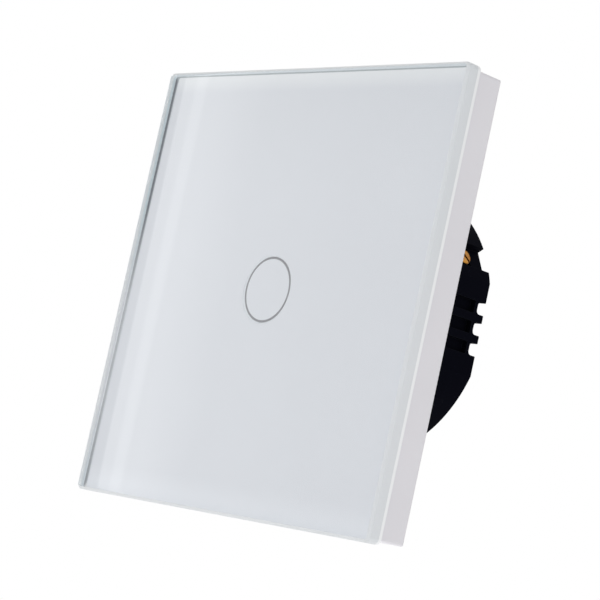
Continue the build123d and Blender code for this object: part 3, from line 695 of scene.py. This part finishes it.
FINISHES: dict[Enum, Finish] = {
    # Ground bevel and wall: outside, painted shade darkens the foot; from inside, painted light
    # and shade tint the sides.
    Dressing.GROUND_GLASS: GroundSheet(
        EdgeShade(
            ((0.775, 0.795, 0.815), (0.77, 0.795, 0.815)), (0.77, 0.79, 0.80), (0.71, 0.73, 0.74)
        ),
        scratch=0.12,
        inside=EdgeShade(
            ((0.97, 0.98, 0.98), (0.95, 0.985, 0.99)), (0.97, 0.98, 0.98), (0.97, 0.98, 0.98)
        ),
        clear=0.15,
    ),
    # Seam and its foot: painted shade where they are seen from inside the glass, darkest on the
    # foot's upper sides and top.
    Dressing.GLASS_SEAM: GroundSheet(
        SEAM_PAINTED_HIGHLIGHT,
        scratch=0.05,
        inside=EdgeShade(
            ((0.84, 0.85, 0.88), (0.74, 0.84, 0.87)), (0.90, 0.93, 0.94), (0.9, 0.9, 0.9)
        ),
    ),
    Dressing.SEAM_FOOT: GroundSheet(
        SEAM_PAINTED_HIGHLIGHT,
        scratch=0.05,
        inside=EdgeShade(
            ((0.74, 0.75, 0.78), (0.50, 0.57, 0.61)), (0.68, 0.72, 0.75), (0.9, 0.9, 0.9)
        ),
    ),
    # Painted shadow of the gap behind the print's edge: darkest high on the sides, lighter along
    # the top, pale along the foot.
    Dressing.CLEAR_MARGIN: EdgeShade(
        side=((0.45, 0.465, 0.485), (0.14, 0.155, 0.175)),
        top=(0.42, 0.45, 0.47),
        foot=(0.78, 0.78, 0.79),
        fade=(38.64 * MM, 39.05 * MM),
    ),
    Slot.CLEAR_GLASS: ClearSheet((0.985, 0.995, 0.993), 0.004, 1.5, (0.93, 0.945, 0.95)),
    Slot.WHITE_PRINT: ScreenPrint(
        PRINT_WHITE,
        (0.725, 0.736, 0.777),
        # Painted shade across the upper half, and painted light along the top and the foot.
        (
            (18.0 * MM, 34.0 * MM, (0.711, 0.723, 0.762)),
            (36.2 * MM, 39.2 * MM, (0.83, 0.84, 0.855)),
            (-34.5 * MM, -37.5 * MM, (0.778, 0.79, 0.831)),
        ),
    ),
    Slot.GREY_PRINT: ScreenPrint((0.235, 0.235, 0.25), (0.29, 0.29, 0.31)),
    Slot.FOAM_TAPE: Moulding(
        (0.80, 0.80, 0.77), (0.74, 0.74, 0.71), (0.84, 0.84, 0.82), (0.8, 0.9),
        specular=0.2, grain=0.2 * MM, depth=0.05 * MM,
    ),
    Slot.WHITE_PLASTIC: Moulding(
        (0.79, 0.775, 0.81), (0.765, 0.75, 0.785), (0.95, 0.94, 0.96), (0.38, 0.48),
        specular=0.4, grain=0.5 * MM, depth=0.003 * MM, edge=0.35 * MM,
    ),
    Slot.BLACK_PLASTIC: Moulding(
        (0.0028, 0.003, 0.0058), (0.0036, 0.0038, 0.0068), (0.014, 0.015, 0.018), (0.4, 0.55),
        specular=0.004, grain=0.35 * MM, depth=0.01 * MM,
    ),
    Slot.CLEAR_PLASTIC: ClearSheet((0.9, 0.93, 0.95), 0.12, 1.49, (0.85, 0.88, 0.9)),
    Slot.LED_RESIN: Moulding(
        (0.86, 0.84, 0.55), (0.8, 0.76, 0.42), (0.9, 0.88, 0.7), (0.15, 0.25), coat=0.5
    ),
    Slot.CONDUCTIVE_FOAM: WovenSkin((0.5, 0.49, 0.47), (0.08, 0.08, 0.08)),
    Slot.BOARD_GREEN: Laminate((0.012, 0.11, 0.045), (0.04, 0.21, 0.09)),
    Slot.CHIP_BLACK: Moulding(
        (0.014, 0.014, 0.015), (0.02, 0.02, 0.021), (0.04, 0.04, 0.04), (0.5, 0.62), specular=0.3
    ),
    Slot.CHIP_CERAMIC: Moulding(
        (0.42, 0.33, 0.24), (0.36, 0.28, 0.2), (0.6, 0.6, 0.6), (0.35, 0.5)
    ),
    Slot.ZINC_STEEL: Metal((0.62, 0.63, 0.66), (0.46, 0.47, 0.48), (0.24, 0.42)),
    Slot.BRASS: Metal(
        (0.54, 0.26, 0.05), (0.27, 0.095, 0.012), (0.16, 0.4),
        line=0.16 * MM, depth=0.012 * MM, patch=1.6 * MM, tarnish=(0.05, 0.6),
    ),
    Slot.GOLD_PINS: Metal((0.87, 0.66, 0.28), (0.8, 0.56, 0.2), (0.12, 0.2)),
    Slot.ALUMINIUM: Metal(
        (0.74, 0.75, 0.77), (0.6, 0.61, 0.62), (0.28, 0.42), line=0.2 * MM, depth=0.006 * MM
    ),
    Slot.CAPACITOR_SLEEVE: Sleeve(
        "reservoir_capacitor", (0.012, 0.016, 0.035), (0.5, 0.51, 0.53), (0.78, 0.79, 0.8)
    ),
    Slot.CAPACITOR_YELLOW: Moulding(
        (0.66, 0.4, 0.02), (0.6, 0.35, 0.016), (0.72, 0.5, 0.1), (0.3, 0.42)
    ),
    Slot.FERRITE: Moulding(
        (0.03, 0.03, 0.032), (0.045, 0.045, 0.048), (0.1, 0.1, 0.1), (0.45, 0.6), depth=0.02 * MM
    ),
    Slot.COPPER_WIRE: Metal((0.72, 0.26, 0.09), (0.55, 0.18, 0.06), (0.2, 0.3), lacquer=0.6),
    Slot.FUSE_BROWN: Moulding(
        (0.11, 0.04, 0.02), (0.09, 0.032, 0.016), (0.18, 0.08, 0.05), (0.3, 0.42)
    ),
    Slot.VARISTOR_BLUE: Moulding(
        (0.02, 0.07, 0.26), (0.016, 0.055, 0.21), (0.08, 0.14, 0.32), (0.22, 0.34), coat=0.3
    ),
}


class PaintShop:
    """Makes the material of each slot once and puts it on pieces."""

    def __init__(self, record: dict[str, Any]) -> None:
        """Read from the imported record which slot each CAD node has."""
        self._slots = {part["node"]: Slot(part["material_slot"]) for part in record["subparts"]}
        self._made: dict[Enum, Material] = {}

    def material(self, finish: Enum) -> Material:
        """The material of a slot or dressing, made when it is first asked for."""
        if finish not in self._made:
            made = bpy.data.materials.new(finish.value)
            made.use_nodes = True
            graph = Graph(made.node_tree)
            graph.add("OutputMaterial", {"Surface": FINISHES[finish].wire(graph)})
            self._made[finish] = made
        return self._made[finish]

    def coat(self, node: Object) -> None:
        """Give a CAD node the material of its slot."""
        material = self.material(self._slots[node.name])
        for place in node.material_slots:
            place.material = material
        if not node.material_slots:
            node.data.materials.append(material)
        log.info("finish of %s: %s", node.name, material.name)

    def finish(
        self, piece: Object, look: Enum, body: Body, replaced: Sequence[str] = ()
    ) -> None:
        """Give a built piece its finish, slot and body.

        Args:
            piece: The piece, in place.
            look: Slot or dressing that it takes its finish from.
            body: Body that it rides on.
            replaced: CAD nodes that it stands for.
        """
        piece.data.materials.append(self.material(look))
        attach(piece, body.value)
        if replaced:
            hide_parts(*replaced)
        log.info("built %s on %s, %d faces", piece.name, body.value, len(piece.data.polygons))


FACET_ANGLE = 25.0
TUBE_ANGLE = 60.0


def make_object(
    name: str, points: Sequence[Point], faces: Sequence[Sequence[int]], angle: float
) -> Object:
    """Make a smooth-shaded mesh whose edges sharper than an angle stay sharp.

    Args:
        name: Name of the object and its mesh.
        points: The corners.
        faces: Corner numbers of each face.
        angle: The angle, in degrees.

    Returns:
        The object, linked to the scene.
    """
    mesh = bpy.data.meshes.new(name)
    mesh.from_pydata(points, [], faces)
    mesh.polygons.foreach_set("use_smooth", [True] * len(mesh.polygons))
    mesh.set_sharp_from_angle(angle=math.radians(angle))
    mesh.update()
    made = bpy.data.objects.new(name, mesh)
    bpy.context.scene.collection.objects.link(made)
    return made


def circle(steps: int) -> list[float]:
    """Angles of evenly spaced points round a circle, in radians."""
    return [2 * math.pi * step / steps for step in range(steps)]


def rounded_square(half: float, corner: float, steps: int) -> list[tuple[float, float]]:
    """Points round a square with rounded corners.

    Args:
        half: Half of its side.
        corner: Radius of its corners.
        steps: Steps in each corner.

    Returns:
        The points, anticlockwise, starting where the first corner leaves the side.
    """
    points = []
    reach = (half - corner) * math.sqrt(2)
    for quarter in range(4):
        turn = quarter * math.pi / 2
        middle = turn + math.pi / 4
        for step in range(steps + 1):
            angle = turn + step / steps * math.pi / 2
            x = reach * math.cos(middle) + corner * math.cos(angle)
            z = reach * math.sin(middle) + corner * math.sin(angle)
            points.append((x, z))
    return points


def lofted(
    name: str,
    loops: Sequence[Sequence[Point]],
    ends: Ends = Ends.CAPPED,
    angle: float = FACET_ANGLE,
) -> Object:
    """Join loops of equal length by faces.

    Args:
        name: Name of the object.
        loops: The loops, in order, each anticlockwise about the direction in which they follow.
        ends: Whether the first and last loop are closed by a face each, or joined to each other.
        angle: Angle in degrees above which an edge is sharp.

    Returns:
        The object.
    """
    count = len(loops[0])
    points = [point for loop in loops for point in loop]
    rows = len(loops) if ends is Ends.JOINED else len(loops) - 1
    faces: list[Sequence[int]] = []
    for row in range(rows):
        here, ahead = row * count, (row + 1) % len(loops) * count
        for i in range(count):
            j = (i + 1) % count
            faces.append((here + i, here + j, ahead + j, ahead + i))
    if ends is Ends.CAPPED:
        faces.append(tuple(reversed(range(count))))
        faces.append(tuple(range(len(points) - count, len(points))))
    return make_object(name, points, faces, angle)


def tube(name: str, path: Sequence[Vector], radius: float, sides: int) -> Object:
    """Sweep a round section along a path.

    Args:
        name: Name of the object.
        path: Points of the path.
        radius: Radius of the section.
        sides: Sides of the section.

    Returns:
        The object.
    """
    loops = []
    across = (path[1] - path[0]).orthogonal().normalized()
    for i, point in enumerate(path):
        along = (path[min(i + 1, len(path) - 1)] - path[max(i - 1, 0)]).normalized()
        across = (across - along * across.dot(along)).normalized()
        other = along.cross(across)
        section = (math.cos(t) * across + math.sin(t) * other for t in circle(sides))
        loops.append([tuple(point + radius * spoke) for spoke in section])
    return lofted(name, loops, angle=TUBE_ANGLE)


@dataclass
class SubAssembly:
    """Pieces that belong together, with the CAD nodes that keep their own shape."""

    nodes: dict[str, Object]
    paint: PaintShop
    kept: ClassVar[tuple[str, ...]] = ()

    def dress(self) -> None:
        """Give each kept CAD node its finish."""
        for name in self.kept:
            self.paint.coat(self.nodes[name])

    def build(self) -> None:
        """Build the meshes that the CAD nodes lack."""


@dataclass
class GlassFront(SubAssembly):
    """Toughened glass with its print, touch ring and tape.

    Attributes:
        corner: Radius of the glass's corners.
        corner_steps: Steps in each of these corners.
        arris: Width of the bevels.
        polish: Radius at which each bevel runs into a face.
        curve: Points of that rounding, as distance along the face and depth, both by polish.
        land: Width of the flat strip inside each bevel.
        bond: Depth by which the glass is let into the print, so that no air lies between.
        seam: Depth of the strip at the back of the side wall, painted as a bright line outside and
            as shade inside.
        seam_foot: Where that line ends, as distance inwards and off the back, both by arris.
        ink: Thickness of the print.
        margins: Width of the strip of painted gap shade at the sides, and along the top and foot.
        margin_start: Where that strip starts from the edge, by arris.
        ring: Inner and outer radius of the touch ring.
        ring_shift: Distance by which the ring is printed off the middle, to the right.
        ring_steps: Steps round the ring.
    """

    corner: float = 1.0 * MM
    corner_steps: int = 8
    arris: float = 0.45 * MM
    polish: float = 0.06 * MM
    curve: tuple[Range, ...] = ((1.0, 0.0), (0.3, 0.1), (-0.4, 0.55))
    land: float = 0.3 * MM
    bond: float = 0.02 * MM
    seam: float = 0.66 * MM
    seam_foot: Range = (0.12, 0.04)
    ink: float = 0.03 * MM
    margins: Range = (1.36 * MM, 0.62 * MM)
    margin_start: float = 0.9
    ring: Range = (5.5 * MM, 5.9 * MM)
    ring_shift: float = 0.28 * MM
    ring_steps: int = 96
    kept = ("panel_film", "panel_tape")

    def bevel(self, face: float) -> list[tuple[float, float]]:
        """Points of the front bevel, as (inset, depth), from the face to the edge."""
        upper = [(self.arris + off * self.polish, deep * self.polish) for off, deep in self.curve]
        lower = [(deep, off) for off, deep in reversed(upper)]
        land = (self.arris + self.polish + self.land, 0.0)
        return [(inset, face + depth) for inset, depth in [land, *upper, *lower]]

    def loops(self, half: float, section: Sequence[tuple[float, float]]) -> list[list[Point]]:
        """Loops round the glass at each point of a section of its edge."""
        found = []
        for inset, depth in section:
            outline = rounded_square(half - inset, self.corner - inset, self.corner_steps)
            found.append([(x, depth, z) for z, x in outline])
        return found

    def build(self) -> None:
        """Build the glass on the box of the CAD glass, and the strip of painted shade behind it.
        """
        low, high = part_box("glass_panel")
        back = high.y + self.bond
        edge = self.bevel(low.y)
        inward, upward = (self.arris * part for part in self.seam_foot)
        seam = [(0.0, high.y - self.seam), (inward, high.y - upward), (self.arris, back)]
        loops = self.loops(high.x, [*edge, *seam, (self.arris + self.land, back)])
        glass = lofted("polished_glass", loops)
        self.paint.finish(glass, Slot.CLEAR_GLASS, Body.PANEL, ["glass_panel"])
        for look in (Dressing.GROUND_GLASS, Dressing.GLASS_SEAM, Dressing.SEAM_FOOT):
            glass.data.materials.append(self.paint.material(look))
        # Rows after the land and the first facet: ground bevel and wall, the seam and its foot,
        # whose finishes carry painted light and shade.
        rows = (len(edge) - 2) * [1] + [2, 3]
        count = len(loops[0])
        for row, material in enumerate(rows, start=2):
            for face in range(row * count, (row + 1) * count):
                glass.data.polygons[face].material_index = material
        self.clear_margin(high.x, high.y)
        self.touch_ring()

    def clear_margin(self, half: float, back: float) -> None:
        """Lay a strip of painted shade round the white print, where the gap behind its edge is in
        shadow.
        """
        outer, inner = self.margin_start * self.arris, self.margins[1]
        front, rear = back - 2 * self.ink, back - self.ink
        loops = self.loops(half, [(outer, front), (inner, front), (inner, rear), (outer, rear)])
        sideways = (half - self.margins[0]) / (half - inner)
        for loop in loops[1:3]:
            loop[:] = [(x * sideways, y, z) for x, y, z in loop]
        # A dark strip of painted shadow, laid just in front of the print.
        strip = lofted("clear_margin", loops, Ends.JOINED)
        self.paint.finish(strip, Dressing.CLEAR_MARGIN, Body.PANEL)

    def touch_ring(self) -> None:
        """Print the touch ring in front of the white ink."""
        low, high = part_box("ring_print")
        inner, outer = self.ring
        front, back = low.y - self.bond / 2, high.y
        shift, turns = self.ring_shift, circle(self.ring_steps)
        loops = [
            [(shift + radius * math.sin(t), depth, radius * math.cos(t)) for t in turns]
            for radius, depth in ((outer, front), (inner, front), (inner, back), (outer, back))
        ]
        ring = lofted("touch_ring", loops, Ends.JOINED)
        self.paint.finish(ring, Slot.GREY_PRINT, Body.PANEL, ["ring_print"])


@dataclass
class PanelFrame(SubAssembly):
    """White frame that carries the glass."""

    kept = ("panel_frame",)


@dataclass
class Mounting(SubAssembly):
    """Steel strap and the plastic carrier on it."""

    kept = ("mounting_strap", "front_carrier")


@dataclass
class TouchUnit(SubAssembly):
    """Touch board with its lights, pad, chip and pin header."""

    kept = (
        "touch_board", "light_guide", "indicator_leds", "sensor_pad", "touch_chip", "chip_parts",
        "board_screws", "link_strip", "link_pins", "link_socket",
    )


@dataclass
class Housing(SubAssembly):
    """Black back box, rear cover and the screws that hold them."""

    kept = ("back_box", "rear_cover", "case_screws")


@dataclass
class Terminals(SubAssembly):
    """Brass screws, rising cages and bars.

    Attributes:
        count: How many terminals there are.
    """

    count: int = 4

    def dress(self) -> None:
        """Give the bars, screws and cages their finish."""
        self.paint.coat(self.nodes["terminal_bars"])
        for number in range(1, self.count + 1):
            self.paint.coat(self.nodes[f"terminal_screw_{number}"])
            self.paint.coat(self.nodes[f"clamp_cage_{number}"])


@dataclass
class PowerUnit(SubAssembly):
    """Power board, its semiconductor on the heat sink, and the filter parts.

    Attributes:
        wire: Radius of the choke's enamelled wire.
        turns: Turns of the winding.
        steps: Points in each turn.
    """

    wire: float = 0.24 * MM
    turns: int = 13
    steps: int = 28
    kept = (
        "power_board", "dimmer_triac", "heat_sink", "heat_sink_screw", "heat_sink_nut",
        "reservoir_capacitor", "film_capacitor", "choke_core", "fuse", "varistor",
    )

    def build(self) -> None:
        """Wind the choke: one wire in a helix between the flanges."""
        low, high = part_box("choke_winding")
        middle = (low + high) / 2
        radius = (high.x - low.x) / 2 - self.wire
        rise = (high.y - low.y - 2 * self.wire) / self.turns
        path = []
        for i in range(self.turns * self.steps + 1):
            turn = 2 * math.pi * i / self.steps
            x = middle.x + radius * math.cos(turn)
            z = middle.z + radius * math.sin(turn)
            path.append(Vector((x, low.y + self.wire + rise * i / self.steps, z)))
        winding = tube("choke_turns", path, self.wire, sides=8)
        self.paint.finish(winding, Slot.COPPER_WIRE, Body.BASE, ["choke_winding"])


@dataclass(frozen=True)
class Lamp:
    """A soft area lamp that looks at the object.

    Attributes:
        name: Its name.
        azimuth: Degrees round the object, 0 in front of it and 90 on its right.
        elevation: Degrees above it.
        distance: Distance from it.
        size: Width and height of the lamp.
        power: Power in watts.
        across: Brightness at places from 0 to 1 across its width, where it has a bright tube.
    """

    name: str
    azimuth: float
    elevation: float
    distance: float
    size: Range
    power: float
    across: tuple[Range, ...] = ()

    def place(self) -> Object:
        """Put the lamp in the scene and return it."""
        data = bpy.data.lights.new(self.name, "AREA")
        data.shape = "RECTANGLE"
        data.size, data.size_y = self.size
        data.energy = self.power
        if self.across:
            self.shade(data)
        lamp = bpy.data.objects.new(self.name, data)
        back = outward(self.azimuth, self.elevation)
        lamp.location = back * self.distance
        lamp.rotation_mode = "QUATERNION"
        lamp.rotation_quaternion = (-back).to_track_quat("-Z", "Y")
        lamp.visible_camera = False
        bpy.context.scene.collection.objects.link(lamp)
        return lamp

    def shade(self, data: Light) -> None:
        """Vary the brightness across the lamp."""
        data.use_nodes = True
        graph = Graph(data.node_tree)
        place = graph.add("NewGeometry").outputs["Parametric"]
        across = graph.add("SeparateXYZ", {0: place}).outputs["X"]
        ramp = graph.add("ValToRGB", {0: across})
        stops = ramp.color_ramp.elements
        for _ in range(len(self.across) - len(stops)):
            stops.new(0.5)
        for stop, (position, level) in zip(stops, self.across):
            stop.position = position
            stop.color = (level, level, level, 1.0)
        light = graph.add("Emission", {"Color": ramp.outputs["Color"]})
        graph.add("OutputLight", {"Surface": light.outputs["Emission"]})


def outward(azimuth: float, elevation: float) -> Vector:
    """Direction from the object to a camera or lamp, by its angles in degrees."""
    a, e = math.radians(azimuth), math.radians(elevation)
    return Vector((math.sin(a) * math.cos(e), -math.cos(a) * math.cos(e), math.sin(e)))


SOFTBOX: tuple[Range, ...] = (
    (0.014, 0.0), (0.019, 0.66), (0.046, 0.68), (0.056, 1.0), (0.078, 1.0),
    (0.09, 0.68), (0.12, 0.66), (0.27, 0.27), (0.6, 0.1), (1.0, 0.0),
)


@dataclass
class Studio:
    """Camera, lamps, white surroundings and a pale floor.

    Attributes:
        azimuth: Degrees that the camera stands to the right of the panel's front.
        elevation: Degrees that it stands above the panel's middle.
        roll: Degrees that it is turned anticlockwise about its axis.
        distance: Distance from its aim.
        aim: Point that it looks at.
        focal: Focal length in millimetres, for a sensor of 36 mm.
        ambient: Strength of the surroundings on the object.
        floor_drop: Depth of the floor below the panel's middle.
        floor_radius: Radius of the floor.
        floor_steps: Sides of the floor.
        floor_glow: Its own light, which keeps it near white.
        floor_fade: Shares of its radius between which it runs out into white.
        lamps: The lamps.
    """

    azimuth: float = 49.68
    elevation: float = -6.94
    roll: float = 12.36
    distance: float = 0.4099
    aim: Point = (0.00048, 0.00056, 0.0)
    focal: float = 139.58
    ambient: float = 0.55
    floor_drop: float = 0.09
    floor_radius: float = 0.8
    floor_steps: int = 64
    floor_glow: float = 0.52
    floor_fade: Range = (0.4, 0.95)
    lamps: tuple[Lamp, ...] = (
        Lamp("key_left", -48.0, 6.0, 0.511, (0.131, 0.30), 0.21, SOFTBOX),
        Lamp("front_soft", -15.0, 20.0, 0.9, (0.5, 0.5), 1.3),
        Lamp("side_right", 95.0, 20.0, 0.9, (0.6, 0.6), 0.5),
        Lamp("top_soft", 20.0, 75.0, 0.9, (0.8, 0.8), 0.5),
    )

    def build(self) -> None:
        """Set up the whole studio."""
        scene = bpy.context.scene
        scene.view_settings.view_transform = "Standard"
        scene.camera = self.camera()
        scene.world = self.surroundings()
        self.floor()
        for lamp in self.lamps:
            lamp.place()
            log.info("lamp %s at %.0f, %.0f degrees", lamp.name, lamp.azimuth, lamp.elevation)

    def camera(self) -> Object:
        """Place the camera at the photograph's angle and return it."""
        data = bpy.data.cameras.new("camera")
        data.sensor_width = 36.0
        data.lens = self.focal
        data.clip_start, data.clip_end = 0.01, 20.0
        camera = bpy.data.objects.new("camera", data)
        back = outward(self.azimuth, self.elevation)
        level = (-back).to_track_quat("-Z", "Y")
        roll = Quaternion((0.0, 0.0, 1.0), math.radians(self.roll))
        camera.rotation_mode = "QUATERNION"
        camera.location = Vector(self.aim) + back * self.distance
        camera.rotation_quaternion = level @ roll
        bpy.context.scene.collection.objects.link(camera)
        return camera

    def seen(self, graph: Graph) -> Socket:
        """1 for rays that show the surroundings: from the camera, a gloss or through glass."""
        path = graph.add("LightPath").outputs
        shown = graph.math("MAXIMUM", path["Is Camera Ray"], path["Is Glossy Ray"])
        return graph.math("MAXIMUM", shown, path["Is Transmission Ray"])

    def surroundings(self) -> World:
        """White where they are seen, softer where they light the object."""
        world = bpy.data.worlds.new("surroundings")
        world.use_nodes = True
        graph = Graph(world.node_tree)
        strength = graph.vary(self.seen(graph), (self.ambient, 1.0))
        white = {"Color": (1.0, 1.0, 1.0, 1.0), "Strength": strength}
        light = graph.add("Background", white).outputs["Background"]
        graph.add("OutputWorld", {"Surface": light})
        return world

    def floor(self) -> Object:
        """Lay the pale round floor, which runs out into white, and return it."""
        radius, turns = self.floor_radius, circle(self.floor_steps)
        rim = [(radius * math.cos(t), radius * math.sin(t), -self.floor_drop) for t in turns]
        floor = make_object("floor", rim, [tuple(range(self.floor_steps))], FACET_ANGLE)
        material = bpy.data.materials.new("pale_floor")
        material.use_nodes = True
        graph = Graph(material.node_tree)
        matt = graph.add("BsdfDiffuse", {"Color": (0.8, 0.8, 0.8, 1.0)}).outputs["BSDF"]
        glow = graph.add("Emission", {"Strength": self.floor_glow}).outputs["Emission"]
        pale = graph.add("AddShader", {0: matt, 1: glow}).outputs["Shader"]
        white = graph.add("Emission", {"Strength": 1.0}).outputs["Emission"]
        reach = graph.add("VectorMath", {0: graph.place()}, operation="LENGTH")
        limits = (radius * share for share in self.floor_fade)
        outer = graph.span(reach.outputs["Value"], *limits)
        shown = graph.math("MULTIPLY", outer, self.seen(graph))
        both = graph.add("MixShader", {0: shown, 1: pale, 2: white}).outputs["Shader"]
        graph.add("OutputMaterial", {"Surface": both})
        floor.data.materials.append(material)
        return floor


def main() -> None:
    """Load the frame, dress and complete each sub-assembly, and set up the studio."""
    logging.basicConfig(level=logging.INFO, format="%(message)s")
    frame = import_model()
    paint = PaintShop(frame["record"])
    Studio().build()
    for kind in (GlassFront, PanelFrame, Mounting, TouchUnit, Housing, Terminals, PowerUnit):
        assembly = kind(frame["nodes"], paint)
        assembly.dress()
        assembly.build()
        log.info("%s done", kind.__name__)


if __name__ == "__main__":
    main()
